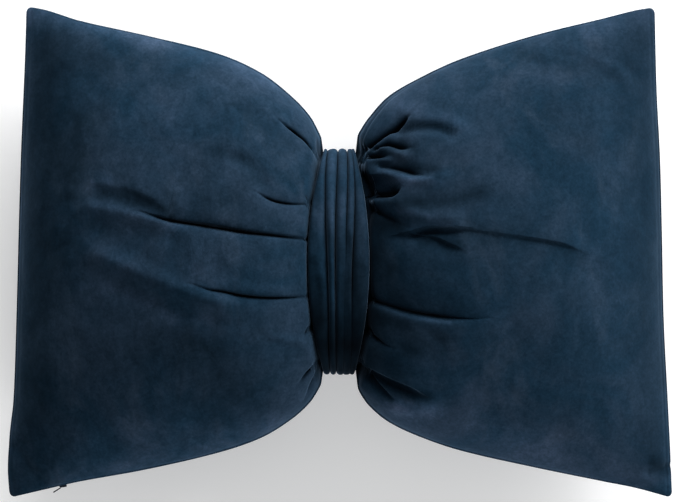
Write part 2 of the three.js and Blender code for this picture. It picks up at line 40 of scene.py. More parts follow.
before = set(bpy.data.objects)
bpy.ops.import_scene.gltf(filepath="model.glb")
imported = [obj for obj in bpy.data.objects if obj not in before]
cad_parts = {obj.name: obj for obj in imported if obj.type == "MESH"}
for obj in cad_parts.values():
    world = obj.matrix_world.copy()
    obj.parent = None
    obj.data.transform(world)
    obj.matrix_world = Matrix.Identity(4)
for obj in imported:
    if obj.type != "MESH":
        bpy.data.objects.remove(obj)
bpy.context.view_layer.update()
MM = 0.001

# The cushion's own half length and half height, against which its droops are measured, in millimetres.
HALF_LENGTH = 300
HALF_HEIGHT = 220
END_DROOP_POWER = 2.4
CORNER_DROOP_POWER = 3

# How the lobes swell from the band and close at the end seams, in shares of the way between them.
SWELL_END = 0.4
SWELL_POWER = 2.2
CLOSING_POWER = 3.2
CLOSING_ROUNDNESS = 0.7
BRIM_REACH = 0.003
OPENING_REACH = 0.012
LENS_REACH = 0.45
LENS_POWER = 1.35
CORNER_START = 0.6
CONTACT_ROUNDING = 5

# The stitching's dent beside the end seams, in millimetres.
STITCH_DEPTH = 0.5
STITCH_INSET = 3.5
STITCH_WIDTH = 1.3

# How far a fold or ledge reaches, the share of a fold's depth that goes by its end, and a lip's sharpness.
CREASE_REACH = 60
FOLD_FADE = 0.9
LIP_SHARPNESS = 0.6

# The filling's unevenness. Columns: height, longest and shortest wave in millimetres, number of waves, seed.
UNEVENNESS = [(1.1, 130, 60, 14, 3), (0.5, 45, 22, 16, 5), (0.16, 20, 9, 30, 7)]

# Mesh steps, and how the rows are drawn together along the folds and the columns towards the seams.
WAIST_COLUMNS = 6
COLUMN_PULL = 0.12
ROW_SAMPLES = 900
ROW_PULL = 2.6
ROW_PULL_REACH = 0.034
LOBE_HALF_HEIGHT = 205
LOBE_FULLNESS = 95
BAND_INNER_STEPS = 14
BAND_INNER_REACH = 0.94

# The band's round, its edges' depths as shares of its thickness, its pleats' section, and its unevenness.
BAND_ROUNDNESS = 2.15
BAND_EDGE_DEPTH = {"left": 0.25, "right": 0.6}
BACK_GROOVE_NARROWING = 0.8
PLEAT_POWER = 2.2
PLEAT_ROUNDNESS = 0.6
BAND_SWAY = 0.35
BAND_SWAY_WAVES = (60, 26, 12, 11)

# The nap's own shade and the painted light and shade are laid on above this height, which droops towards the
# ends, in millimetres.
STROKE_LEVEL = 62
STROKE_LEVEL_DROOP = 14

# The cloth's and enamel's noises. Columns: cycles per metre, detail, roughness, distortion, stretch, turn.
PATCHES = (11, 4, 0.55, 0.9, (1, 1, 1), 0.5)
BRUSHING = (26, 5, 0.6, 0.5, (1, 0.45, 1), 0.9)
MARKS = (75, 3, 0.6, 0.8, (1, 0.5, 1), 0.6)
LEAN = (34, 4, 0.55, 0.6, (1, 0.6, 1), 0.7)
MOTTLE = (190, 2, 0.6, 0.4)
PILE = (420, 3, 0.65)
WEAR = (900, 4, 0.6)

# Where the nap grows calmer: from and to along X in metres, and its unevenness at both.
CALMING = (-0.04, 0.12, 1.0, 0.55)

# The stage: the point under the camera, the floor's reach in metres, and the colour of the even light.
VIEW_CENTRE = (0.00045, 0, 0.06)
FLOOR_REACH = 9
SKY_COLOUR = (0.97, 0.985, 1, 1)

# The edge seam as the front shows it, from the band out to each corner. Columns: x, y, in millimetres.
SEAM_LINE = {
    "left": {
        "upper": [(-14, 94), (-19.4, 106), (-27, 120), (-42.9, 137.4), (-70, 158.6), (-108, 176),
                  (-173, 192.7), (-235, 206.8), (-265, 216.5), (-284, 220.3)],
        "lower": [(-14, -112), (-19.4, -123), (-27, -135), (-42.9, -149.8), (-70, -166.6), (-108, -180),
                  (-173, -195.4), (-235, -207), (-265, -214), (-300, -222.5)],
    },
    "right": {
        "upper": [(14, 97), (19.4, 107.5), (27, 119), (43.8, 137.5), (71, 153.9), (109, 171.5), (174, 192.6),
                  (239, 209), (268, 216.5), (286, 219.5)],
        "lower": [(14, -115), (19.4, -127), (27, -138), (43.8, -152.2), (71, -165.4), (109, -178.4),
                  (174, -193.4), (239, -207), (268, -213), (300, -222)],
    },
}

# The end seams, lower corner to upper corner. Columns: y, x, in millimetres.
END_LINE = {
    "left": [(-222.5, -297.5), (-198, -299), (-165, -297), (-135, -293.5), (-62, -290.6), (82, -286.6),
             (172, -283.2), (220.3, -282)],
    "right": [(-222, 300), (-180, 298), (-135, 295.5), (-62, 291.6), (10, 290), (82, 288.3), (145, 285.4),
              (219.5, 284)],
}

# A fold that runs out from the band: a valley with a shoulder above it and one below it, and a narrow tuck
# along its bottom, in millimetres. start is the share of its depth that it has at the band, and deepest the
# share of its path where it is deepest.
Fold = namedtuple("Fold", "path depth above below start deepest tuck width")
FRONT_FOLDS = [
    Fold([(-17.6, 83), (-27.6, 97.3), (-35.7, 104.3), (-47.7, 112.3), (-56.7, 119)],
         4, 6, 3, 0.4, 0.5, 4, 1.1),
    Fold([(-16, 84), (-18.6, 97), (-20.6, 105)], 3, 3, 3, 0.8, 0.3, 2, 1.1),
    Fold([(-27.6, 41), (-43.8, 41.6), (-55.8, 44), (-65.8, 48), (-75, 53)], 3.5, 6, 3.5, 0.3, 0.55, 2.6, 1),
    Fold([(-26, 44.5), (-31, 49.5)], 1, 2, 2, 1, 0.3, 1.4, 1),
    Fold([(-27.6, 10), (-43.8, 12), (-63.7, 14.5), (-84, 17), (-104, 20.5), (-124, 23.5), (-149, 27),
          (-163, 30.5), (-176, 35)], 5.5, 7, 4, 0.15, 0.55, 10, 1.4),
    Fold([(-28.6, -40.3), (-43.8, -41.3), (-63.7, -41.6), (-84, -39.8), (-101, -36), (-114, -34),
          (-131, -28)], 4.5, 7, 4, 0.2, 0.5, 5, 1.1),
    Fold([(-23.7, -67.4), (-28.6, -71.4), (-31.7, -76.5)], 2.5, 4, 3, 0.9, 0.3, 2, 1.1),
    Fold([(-16.5, -99), (-26, -108), (-38, -119)], 3.5, 4, 3, 0.8, 0.4, 3, 1.2),
    Fold([(-17, -106), (-24, -120), (-32, -134)], 3, 4, 3, 0.8, 0.4, 2.4, 1.2),
    Fold([(17.6, 88.6), (34.8, 102), (50.2, 112), (62, 121)], 8, 6, 2.5, 0.7, 0.8, 7, 1.5),
    Fold([(15.5, 92), (27, 114.5), (42.7, 134), (56, 143), (66.4, 149)], 0.6, 1.5, 1.5, 0.5, 0.5, 1.6, 0.9),
    Fold([(29.4, 91), (41, 95), (53, 92), (64, 91)], 8, 6, 2.5, 0.6, 0.6, 2, 1.4),
    Fold([(18, 83), (30.3, 84), (44, 84.5)], 7, 4, 2, 1, 0.5, 2, 1.2),
    Fold([(36, 75), (52, 72), (64, 68.5), (76, 65)], 8, 7, 3, 0.6, 0.6, 1, 1.4),
    Fold([(23, 49.5), (38, 49.5), (46, 51), (54, 57)], 12, 11, 2, 1, 0.7, 3, 1.6),
    Fold([(26, 36), (41, 29), (60, 20)], 9, 9, 5, 1, 0.4, 0, 1),
    Fold([(24.8, -43.5), (40.8, -48.5), (57.4, -53.5), (71.8, -56.2), (93.5, -59.3), (118, -59.8),
          (131, -58)], 8.5, 11, 2.2, 0.6, 0.5, 2.2, 1),
    Fold([(19.6, -68), (30, -77.5), (39, -83.5), (50, -87)], 6, 7, 2.5, 1, 0.4, 1.5, 1),
    Fold([(24.8, -113), (37.2, -125), (50.4, -135)], 3.5, 3, 3, 0.9, 0.5, 2, 1.2),
]

# A ledge: within fall the cloth drops by its depth from a sharp lip, which its path follows, and comes back
# gently. start and deepest are as in a fold.
Ledge = namedtuple("Ledge", "path depth fall back start deepest")
FRONT_LEDGES = [
    Ledge([(21, 68), (36, 67), (48, 64), (56, 56)], 4, 5, 6, 1, 0.8),
    Ledge([(38, 12), (57, 16), (74.5, 20.5), (90, 21.8), (111, 21), (126, 17)], 5, 3.5, 5, 0, 0.5),
    Ledge([(98, 21.5), (126, 17), (143, 14.8), (166, 12), (196.5, 6.5), (217, -3)], 2.2, 2, 5, 0.4, 0.8),
    Ledge([(70, 14), (84, 12), (100, 5), (112, -2)], 3, 4, 5, 0.6, 0.5),
    Ledge([(15.2, -98), (26.5, -104), (37.2, -109.4), (52, -116), (64.7, -121.5), (82, -130.5)],
          9, 5, 4.5, 0.9, 0.55),
    Ledge([(-205, 57), (-182, 53), (-163, 44), (-147, 30)], 2.4, 7, 6, 0.4, 0.6),
]
BACK_FOLDS = [
    Fold([(-18, 76), (-36, 92), (-56, 106)], 6, 9, 9, 0.7, 0.35, 3, 1.6),
    Fold([(-21, 40), (-50, 48), (-86, 56)], 7, 11, 11, 0.7, 0.35, 3, 1.6),
    Fold([(-22, 4), (-60, 8), (-110, 4)], 9, 12, 12, 0.7, 0.35, 4, 1.6),
    Fold([(-22, -36), (-54, -43), (-92, -54)], 7, 11, 11, 0.7, 0.35, 3, 1.6),
    Fold([(-18, -86), (-36, -104), (-56, -120)], 6, 9, 9, 0.7, 0.35, 3, 1.6),
    Fold([(18, 72), (38, 90), (60, 104)], 6, 9, 9, 0.7, 0.35, 3, 1.6),
    Fold([(21, 34), (52, 42), (94, 46)], 8, 11, 11, 0.7, 0.35, 3, 1.6),
    Fold([(22, -10), (62, -9), (114, -14)], 9, 12, 12, 0.7, 0.35, 4, 1.6),
    Fold([(21, -52), (50, -62), (84, -76)], 7, 11, 11, 0.7, 0.35, 3, 1.6),
    Fold([(17, -90), (34, -108), (54, -122)], 6, 9, 9, 0.7, 0.35, 3, 1.6),
]

# A soft hollow in the filling, or a ridge where its depth is below zero.
Hollow = namedtuple("Hollow", "path depth width")
FRONT_HOLLOWS = [
    Hollow([(-222, 40), (-184, 32), (-157, 26)], -2, 6),
    Hollow([(-212, 22), (-175, 17), (-145, 10)], 1.4, 8),
    Hollow([(-207, -4), (-180, -17), (-153, -29), (-126, -40), (-104, -47)], -4.5, 10),
    Hollow([(-195, -32), (-165, -44), (-135, -53), (-108, -58)], 2.5, 11),
    Hollow([(-92, 82), (-72, 72), (-66, 60)], 2.2, 6),
    Hollow([(-88, 127), (-70, 120), (-58, 112)], 1.8, 6),
    Hollow([(-59, -75), (-44, -79), (-33, -81)], -1.2, 4),
    Hollow([(50, 107), (65.5, 109), (80, 110), (90, 108), (99, 103)], 4.8, 4.5),
    Hollow([(36, 91), (46.5, 89), (57.4, 84)], -1.8, 3),
    Hollow([(17, 80.5), (30.3, 80.6), (43, 80)], -1.5, 2),
    Hollow([(34.8, 68.5), (50.2, 67.5), (61, 64), (75.5, 62), (91, 65)], -2.4, 5),
    Hollow([(50, 42), (62, 35), (80, 30), (100, 28)], -2.4, 7),
    Hollow([(77, -69.6), (88, -78.6)], 1.5, 5),
    Hollow([(20.3, -121), (33.6, -132), (45.6, -140), (61, -143)], -1.6, 3),
    Hollow([(173, 171), (177, 165)], 1.2, 3),
    Hollow([(196, 178), (222, 168), (246, 152)], 1.8, 6),
    Hollow([(222, 182), (248, 170), (264, 158)], 1.4, 5),
    Hollow([(278, -200), (287, -199), (297, -194)], 2.2, 3),
    Hollow([(-293, -178), (-266, -208)], 1.6, 4),
    Hollow([(-287, -172), (-252, -202)], 1.3, 4),
    Hollow([(-240, -192), (-198, -207)], 1.4, 5),
]

# A groove between two of the band's pleats, at five stations down its front from its upper to its lower end.
# place is its share of the half width, and depth is in millimetres.
Groove = namedtuple("Groove", "place depth")
BAND_GROOVES = [
    Groove((-0.77, -0.51, -0.38, -0.39, -0.6), (2, 4.6, 5, 3.4, 2.6)),
    Groove((-0.1, -0.13, -0.13, -0.13, -0.2), (3.2, 4.8, 5, 3.8, 3)),
    Groove((0.49, 0.29, 0.2, 0.16, 0.24), (3, 3.6, 0.4, 0.3, 1.2)),
    Groove((0.78, 0.58, 0.43, 0.46, 0.66), (0.5, 3.4, 4.2, 1.2, 1)),
]

# Painted light and shade, mixed with the nap's own shade: painted shadows under lips and folds and beside the
# band, and painted highlights along the rims and lips. It looks darker where shade is below 1, and lighter
# above it.
NapAndPaintedLightStroke = namedtuple("NapAndPaintedLightStroke", "path width shade")
CUSHION_NAP_AND_PAINTED_LIGHT = [
    NapAndPaintedLightStroke([(-262, 205), (-266, 90), (-270, -45), (-276, -150)], 22, 0.5),
    NapAndPaintedLightStroke([(-289, 150), (-292, 0), (-294, -150)], 4, 0.8),
    NapAndPaintedLightStroke([(-290, 210), (-264, 204)], 15, 1.8),
    NapAndPaintedLightStroke([(-284, 192), (-284, 166)], 8, 1.6),
    NapAndPaintedLightStroke([(-231, 115), (-234, 75), (-236, 48)], 9, 0.58),
    NapAndPaintedLightStroke([(-240, 10), (-230, -2)], 11, 0.74),
    NapAndPaintedLightStroke([(-224, 172), (-212, 164)], 10, 0.75),
    NapAndPaintedLightStroke([(-150, 168), (-125, 163)], 6, 1.3),
    NapAndPaintedLightStroke([(-262, 192), (-235, 185)], 14, 0.78),
    NapAndPaintedLightStroke([(-250, 85), (-247, 60)], 14, 0.68),
    NapAndPaintedLightStroke([(-256, 6), (-246, -10)], 14, 0.7),
    NapAndPaintedLightStroke([(-215, 125), (-212, 105)], 11, 0.78),
    NapAndPaintedLightStroke([(-186, 120), (-150, 114)], 18, 1.22),
    NapAndPaintedLightStroke([(-250, 172), (-190, 168), (-110, 160)], 15, 0.82),
    NapAndPaintedLightStroke([(-206, 52), (-182, 46), (-163, 39), (-152, 34)], 8, 0.5),
    NapAndPaintedLightStroke([(-214, 41), (-185, 31), (-160, 23), (-138, 20)], 5, 1.55),
    NapAndPaintedLightStroke([(-232, 31), (-212, 26), (-192, 18)], 6, 0.78),
    NapAndPaintedLightStroke([(-212, 62), (-195, 58)], 6, 1.3),
    NapAndPaintedLightStroke([(-98, 128), (-70, 114), (-40, 92)], 6, 0.75),
    NapAndPaintedLightStroke([(-112, 90), (-84, 79), (-68, 60)], 7, 0.66),
    NapAndPaintedLightStroke([(-120, 48), (-75, 38)], 8, 0.82),
    NapAndPaintedLightStroke([(-152, -83), (-122, -92), (-96, -118)], 22, 0.72),
    NapAndPaintedLightStroke([(-225, -95), (-180, -85)], 25, 0.86),
    NapAndPaintedLightStroke([(-130, -76), (-108, -86)], 12, 0.75),
    NapAndPaintedLightStroke([(-68, -139), (-52, -141)], 7, 0.75),
    NapAndPaintedLightStroke([(-255, 59), (-225, 57), (-205, 60)], 6, 1.4),
    NapAndPaintedLightStroke([(-240, 42), (-205, 26), (-186, 22)], 5, 1.4),
    NapAndPaintedLightStroke([(-220, 8), (-206, -5), (-180, -13)], 6, 1.35),
    NapAndPaintedLightStroke([(-205, -31), (-189, -36), (-168, -46)], 6, 1.5),
    NapAndPaintedLightStroke([(-152, -54), (-140, -58), (-120, -60)], 8, 1.65),
    NapAndPaintedLightStroke([(-130, -15), (-100, -26), (-70, -32), (-50, -34)], 6, 1.35),
    NapAndPaintedLightStroke([(-88, -30), (-62, -33)], 5, 1.25),
    NapAndPaintedLightStroke([(-225, -172), (-190, -161), (-135, -152)], 12, 1.4),
    NapAndPaintedLightStroke([(-285, -175), (-270, -200)], 10, 0.8),
    NapAndPaintedLightStroke([(-245, -206), (-173, -188), (-108, -172), (-60, -153)], 15, 1.65),
    NapAndPaintedLightStroke([(-282, 216), (-173, 190), (-108, 172), (-60, 152)], 8, 1.5),
    NapAndPaintedLightStroke([(272, 195), (274, 70), (278, -60), (284, -170)], 22, 0.62),
    NapAndPaintedLightStroke([(282, -190), (294, -198)], 8, 0.4),
    NapAndPaintedLightStroke([(165, 175), (200, 168), (245, 160)], 9, 0.72),
    NapAndPaintedLightStroke([(188, 118), (216, 95)], 13, 0.8),
    NapAndPaintedLightStroke([(26, 30), (36, 25), (52, 21)], 9, 0.22),
    NapAndPaintedLightStroke([(28, -4), (28, -60), (26, -100)], 8, 0.48),
    NapAndPaintedLightStroke([(34, 16), (36, -4), (44, -14)], 10, 0.45),
    NapAndPaintedLightStroke([(38, -24), (46, -33), (54, -42)], 10, 0.62),
    NapAndPaintedLightStroke([(34, -54), (55, -66)], 12, 0.42),
    NapAndPaintedLightStroke([(31, -60), (35, -64)], 7, 0.65),
    NapAndPaintedLightStroke([(46, -68), (60, -73)], 4, 1.35),
    NapAndPaintedLightStroke([(27, -47), (41, -51.5), (58, -56.5), (74, -59.5), (96, -62.5)], 1.8, 1.6),
    NapAndPaintedLightStroke([(60, -87), (70, -89)], 5, 0.65),
    NapAndPaintedLightStroke([(20, -104), (37, -114.5), (58, -124), (78, -129)], 4.5, 0.35),
    NapAndPaintedLightStroke([(20, -109), (33, -121), (46, -132)], 3, 0.5),
    NapAndPaintedLightStroke([(17, -114), (35, -131), (59, -140)], 3, 1.35),
    NapAndPaintedLightStroke([(34, -90), (48, -106)], 11, 0.55),
    NapAndPaintedLightStroke([(60, -82), (74, -79), (90, -77)], 9, 0.66),
    NapAndPaintedLightStroke([(60, 108), (74, 111), (92, 107)], 6, 0.6),
    NapAndPaintedLightStroke([(40, 92), (66, 90)], 5, 0.6),
    NapAndPaintedLightStroke([(52, 73), (84, 71)], 5, 0.6),
    NapAndPaintedLightStroke([(50, 43), (75, 42), (100, 45), (125, 52)], 8, 0.48),
    NapAndPaintedLightStroke([(58, 43), (72, 42)], 6, 0.68),
    NapAndPaintedLightStroke([(75, 11), (102, 6)], 8, 0.48),
    NapAndPaintedLightStroke([(112, 17), (165, 8), (212, -2)], 9, 0.72),
    NapAndPaintedLightStroke([(42, 61), (90, 61)], 4, 1.6),
    NapAndPaintedLightStroke([(50, 62), (60, 61)], 5, 1.45),
    NapAndPaintedLightStroke([(76, 30), (92, 22), (108, 20)], 5, 1.4),
    NapAndPaintedLightStroke([(22, 97), (34, 88)], 8, 0.4),
    NapAndPaintedLightStroke([(50, 128), (64, 126)], 8, 1.45),
    NapAndPaintedLightStroke([(82, 118), (105, 112)], 7, 1.5),
    NapAndPaintedLightStroke([(44, 36), (66, 34)], 4, 1.6),
    NapAndPaintedLightStroke([(208, 8), (224, -2)], 8, 1.35),
    NapAndPaintedLightStroke([(126, -48), (144, -62)], 10, 1.3),
    NapAndPaintedLightStroke([(80, -105), (160, -130), (235, -150)], 36, 1.22),
    NapAndPaintedLightStroke([(95, -116), (112, -124)], 14, 1.25),
    NapAndPaintedLightStroke([(52, -140), (86, -140)], 8, 1.9),
    NapAndPaintedLightStroke([(120, -150), (150, -164), (190, -175)], 14, 1.35),
    NapAndPaintedLightStroke([(40, -150), (109, -170), (200, -190), (292, -208)], 18, 1.45),
    NapAndPaintedLightStroke([(28, 128), (42, 144), (80, 160)], 7, 0.58),
    NapAndPaintedLightStroke([(225, 200), (278, 212)], 10, 1.35),
    NapAndPaintedLightStroke([(289, 110), (291, 0), (293, -120)], 5, 0.6),
]
# The band's marks are mostly painted shade, which darkens its lower end and its right half, with one painted
# highlight towards its upper end.
BAND_NAP_AND_PAINTED_LIGHT = [
    NapAndPaintedLightStroke([(9, 8), (12, -50)], 9, 0.42),
    NapAndPaintedLightStroke([(20, -15), (20, -80)], 7, 0.6),
    NapAndPaintedLightStroke([(-24, -8), (-25, -30), (-20, -70)], 6, 0.5),
    NapAndPaintedLightStroke([(-18, -26), (-15, -60)], 5, 0.38),
    NapAndPaintedLightStroke([(5, -26), (6, -46)], 4, 0.7),
    NapAndPaintedLightStroke([(11, -66), (10, -95)], 9, 0.55),
    NapAndPaintedLightStroke([(-20, -62), (20, -62)], 14, 0.5),
    NapAndPaintedLightStroke([(-20, -84), (20, -84)], 18, 0.16),
    NapAndPaintedLightStroke([(-20, -108), (20, -108)], 16, 0.16),
    NapAndPaintedLightStroke([(-12, 80), (-4, 40)], 18, 1.45),
]

# The large soft lights. Columns: name, degrees round from +X, degrees above the floor, size in metres, share
# of the key light's power.
STUDIO_LIGHTS = [
    ("key_light", 45, 17, 2.1, 1.0),
    ("top_light", 90, 16, 2.1, 0.8),
    ("right_light", -45, 16, 2.1, 0.5),
    ("left_light", 180, 16, 2.1, 0.1),
]


# Shared shapes of lines


def mix(a, b, share):
    return a + (b - a) * share


def smooth(x, low, high):
    t = np.clip((x - low) / (high - low), 0, 1)
    return t * t * (3 - 2 * t)


def curve_through(rows):
    """A smooth curve through (input, output) rows, as a function of an array."""
    xs, ys = np.array(sorted(rows), float).T
    before = np.maximum(np.arange(len(xs)) - 1, 0)
    after = np.minimum(np.arange(len(xs)) + 1, len(xs) - 1)
    slope = (ys[after] - ys[before]) / (xs[after] - xs[before])

    def value(x):
        x = np.clip(x, xs[0], xs[-1])
        i = np.clip(np.searchsorted(xs, x) - 1, 0, len(xs) - 2)
        h = xs[i + 1] - xs[i]
        s = (x - xs[i]) / h
        held = ys[i] * (1 + 2 * s) * (1 - s) ** 2 + ys[i + 1] * s * s * (3 - 2 * s)
        return held + h * (slope[i] * s * (1 - s) ** 2 - slope[i + 1] * s * s * (1 - s))

    return value


def line_through(path, count=24):
    """Points along a smooth line through a path's points."""
    at = np.arange(len(path))
    along = np.linspace(0, len(path) - 1, count)
    return np.stack([curve_through(list(zip(at, [p[k] for p in path])))(along) for k in (0, 1)], axis=1)


def nearest_on(path, x, y, reach):
    """How points lie to a path: which are within reach of it, and of these how far off it each is, at what
    share of it, and whether above it."""
    line = line_through(path)
    low, high = line.min(axis=0) - reach, line.max(axis=0) + reach
    near = (x > low[0]) & (x < high[0]) & (y > low[1]) & (y < high[1])
    px, py = x[near], y[near]
    steps = np.diff(line, axis=0)
    lengths = np.hypot(steps[:, 0], steps[:, 1])
    starts = np.concatenate([[0], np.cumsum(lengths)])
    away, share, above = np.full(px.shape, np.inf), np.zeros(px.shape), np.zeros(px.shape, bool)
    for start, step, length, run in zip(line[:-1], steps, lengths, starts):
        dx, dy = px - start[0], py - start[1]
        t = np.clip((dx * step[0] + dy * step[1]) / length**2, 0, 1)
        off = np.hypot(dx - step[0] * t, dy - step[1] * t)
        closer = off < away
        away = np.where(closer, off, away)
        share = np.where(closer, (run + length * t) / starts[-1], share)
        above = np.where(closer, (step[0] * dy - step[1] * dx) * np.sign(step[0]) > 0, above)
    return near, away, share, above


def ripple(x, y, longest, shortest, count, seed):
    """A gentle unevenness between -1 and 1, as the sum of waves in all directions."""
    chance = np.random.default_rng(seed)
    total = np.zeros_like(x)
    for _ in range(count):
        wave = chance.uniform(shortest, longest)
        turn, phase = chance.uniform(0, 2 * math.pi, 2)
        total += np.sin((x * math.cos(turn) + y * math.sin(turn)) * 2 * math.pi / wave + phase)
    return total / count**0.5 / 1.6


def nap_and_painted_light(nap_and_light_strokes, x, y):
    """The painted light and shade, with the nap's own shade, near each mark's path."""
    shade = np.ones_like(x)
    for stroke in nap_and_light_strokes:
        near, away, _, _ = nearest_on(stroke.path, x, y, stroke.width * 3)
        shade[near] *= mix(1, stroke.shade, np.exp(-((away / stroke.width) ** 2)))
    return shade


def strength_along(crease, share, fade):
    """How much of its depth a fold or ledge has at a share of its path. By its end it has lost fade of it."""
    rising = mix(crease.start, 1, smooth(share, 0, crease.deepest))
    return rising * (1 - fade * smooth(share, crease.deepest, 1))


# The cushion's form


class CushionForm:
    """The cover's front and back panels. All its lengths are in millimetres."""

    def __init__(self, cushion, band):
        self.seam_height = cushion.seam_height / MM
        self.crown = {"front": cushion.crown_up / MM, "back": cushion.crown_down / MM}
        self.half_seam = cushion.seam_thickness / MM / 2
        self.roll = cushion.seam_roll / MM
        self.end_droop = cushion.end_droop / MM
        self.corner_droop = cushion.corner_droop / MM
        self.corner_radius = cushion.corner_radius / MM
        self.waist_y = band.centre / MM
        self.waist_half_height = (band.half_height - band.thickness - band.gap) / MM - self.roll
        self.rim = {
            "front": (band.front - band.thickness - band.gap) / MM,
            "back": (band.back - band.thickness - band.gap) / MM,
        }
        self.brim = {"left": cushion.left_brim / MM, "right": cushion.right_brim / MM}
        self.gap = band.gap / MM
        self.edge_half_width = band.end_half_width / MM
        self.half_widths = {
            "left": band.left_half_width / MM,
            "right": band.right_half_width / MM,
            "back": band.back_half_width / MM,
        }
        self.folds = {"front": FRONT_FOLDS, "back": BACK_FOLDS}
        self.ledges = {"front": FRONT_LEDGES, "back": []}
        self.hollows = {"front": FRONT_HOLLOWS, "back": []}
        self.lobes = {}
        for name, sign in (("left", -1), ("right", 1)):
            end = curve_through(END_LINE[name])
            low, high = END_LINE[name][0][0], END_LINE[name][-1][0]
            self.lobes[name] = {
                "sign": sign,
                "upper": curve_through(SEAM_LINE[name]["upper"]),
                "lower": curve_through(SEAM_LINE[name]["lower"]),
                "end": end,
                "low": low,
                "high": high,
                "corners": (float(end(low)), float(end(high))),
            }

    def half_width(self, name, side, angle):
        """The band's half width at an angle round its loop: 0 at a side's middle, a quarter turn at its upper
        end."""
        widest = self.half_widths[name if side == "front" else "back"]
        return mix(self.edge_half_width, widest, np.cos(angle) ** 2)

    def seam_at(self, x, y):
        """The edge seam's height, which droops towards the ends and most at the corners."""
        out = np.abs(x) / HALF_LENGTH
        end = self.end_droop * out**END_DROOP_POWER
        return self.seam_height - end - self.corner_droop * out**CORNER_DROOP_POWER * (y / HALF_HEIGHT) ** 2

    def half_thickness(self, name, side, v, rounded):
        """The height over the edge seam. rounded leaves out the short steep rise beside the band."""
        swell = 1 - (1 - np.minimum(v / SWELL_END, 1)) ** SWELL_POWER
        closing = np.maximum(0, 1 - v**CLOSING_POWER) ** CLOSING_ROUNDNESS
        rise = 1 if rounded else 1 - np.exp(-v / BRIM_REACH)
        return mix(self.rim[side] + self.brim[name] * rise, self.crown[side], swell) * closing

    def smooth_point(self, name, side, v, angle, rounded=False):
        """A lobe's surface without its folds. v is 0 at the band and 1 at the end seam."""
        lobe = self.lobes[name]
        across = np.sin(angle)
        start = lobe["sign"] * (self.half_width(name, side, angle) + self.gap)
        end = lobe["end"](mix(lobe["low"], lobe["high"], (across + 1) / 2))
        corner = np.where(across > 0, lobe["corners"][1], lobe["corners"][0])
        x = mix(start, end, v)
        seam_x = mix(x, mix(start, corner, v), smooth(v, CORNER_START, 1))
        opening = smooth(v, 0, OPENING_REACH)
        upper = mix(self.waist_y + self.waist_half_height, lobe["upper"](seam_x), opening)
        lower = mix(self.waist_y - self.waist_half_height, lobe["lower"](seam_x), opening)
        y = mix(lower, upper, (across + 1) / 2)
        lens = mix(1, LENS_POWER, smooth(v, 0, LENS_REACH))
        rise = self.half_thickness(name, side, v, rounded) * np.maximum(0, np.cos(angle)) ** lens
        from_end = (1 - v) * np.abs(end - start)
        stitching = STITCH_DEPTH * np.exp(-(((from_end - STITCH_INSET) / STITCH_WIDTH) ** 2))
        rise = rise - stitching * np.minimum(1, rise)
        z = self.seam_at(x, y) + (self.half_seam + rise) * (1 if side == "front" else -1)
        to_end = np.clip(1 - np.abs(end - x) / self.corner_radius, 0, 1)
        to_edge = np.clip(1 - np.minimum(upper - y, y - lower) / self.corner_radius, 0, 1)
        inwards = self.corner_radius * to_end * (1 - np.sqrt(1 - to_edge**2 / 2))
        x = x - lobe["sign"] * inwards
        y = y - np.sign(across) * self.corner_radius * to_edge * (1 - np.sqrt(1 - to_end**2 / 2))
        return np.stack([x, y, z], axis=-1)

    def drawn_in(self, side, x, y):
        """How far the folds and hollows draw the surface in."""
        valleys, tucks, total = (np.zeros_like(x) for _ in range(3))
        for fold in self.folds[side]:
            near, away, share, above = nearest_on(fold.path, x, y, CREASE_REACH)
            strength = strength_along(fold, share, FOLD_FADE)
            valley = fold.depth * np.exp(-away / np.where(above, fold.above, fold.below))
            valleys[near] += (strength * valley) ** 2
            tuck = strength * fold.tuck * np.exp(-((away / fold.width) ** 2))
            tucks[near] = np.maximum(tucks[near], tuck)
        for ledge in self.ledges[side]:
            near, away, share, above = nearest_on(ledge.path, x, y, CREASE_REACH)
            strength = strength_along(ledge, share, 1)
            reach = np.minimum(away / ledge.fall, 1)
            lip = (reach * np.exp(1 - reach)) ** LIP_SHARPNESS
            drop = lip / (1 + (np.maximum(away - ledge.fall, 0) / ledge.back) ** 2)
            total[near] += np.where(above, 0, strength * ledge.depth * drop)
        for hollow in self.hollows[side]:
            near, away, _, _ = nearest_on(hollow.path, x, y, hollow.width * 3)
            total[near] += hollow.depth * np.exp(-((away / hollow.width) ** 2))
        return total + np.sqrt(valleys) + tucks

    def laid(self, z, rounding=CONTACT_ROUNDING):
        """A height over the floor: what would lie well below it is pressed flat, and leaves it in a round."""
        return np.where(z >= rounding, z, np.maximum(z + rounding, 0) ** 2 / (4 * rounding))

    def point(self, name, side, v, angle):
        """A lobe's surface with its folds, drawn in along its own normal."""
        spot = self.smooth_point(name, side, v, angle)
        step = 0.003
        out = self.smooth_point(name, side, np.minimum(v + step, 1), angle, True)
        back = self.smooth_point(name, side, np.maximum(v - step, 0), angle, True)
        up = self.smooth_point(name, side, v, angle + step, True)
        down = self.smooth_point(name, side, v, angle - step, True)
        normal = np.cross(out - back, up - down)
        normal /= np.linalg.norm(normal, axis=-1, keepdims=True) + 1e-12
        normal *= np.where(normal[..., 2:] < 0, -1, 1) * (1 if side == "front" else -1)
        free = np.maximum(0, np.cos(angle)) ** 0.3
        drawn = self.drawn_in(side, spot[..., 0], spot[..., 1])
        drawn = np.where(drawn < 0, drawn * smooth(v, 0, 0.02), drawn) * free
        x, y = spot[..., 0], spot[..., 1]
        uneven = sum(height * ripple(x, y, *waves) for height, *waves in UNEVENNESS)
        uneven *= smooth(v, 0.02, 0.2) * smooth(1 - v, 0, 0.12) * free
        spot = spot + normal * (uneven - drawn)[..., None]
        spot[..., 2] = self.laid(spot[..., 2])
        return spot

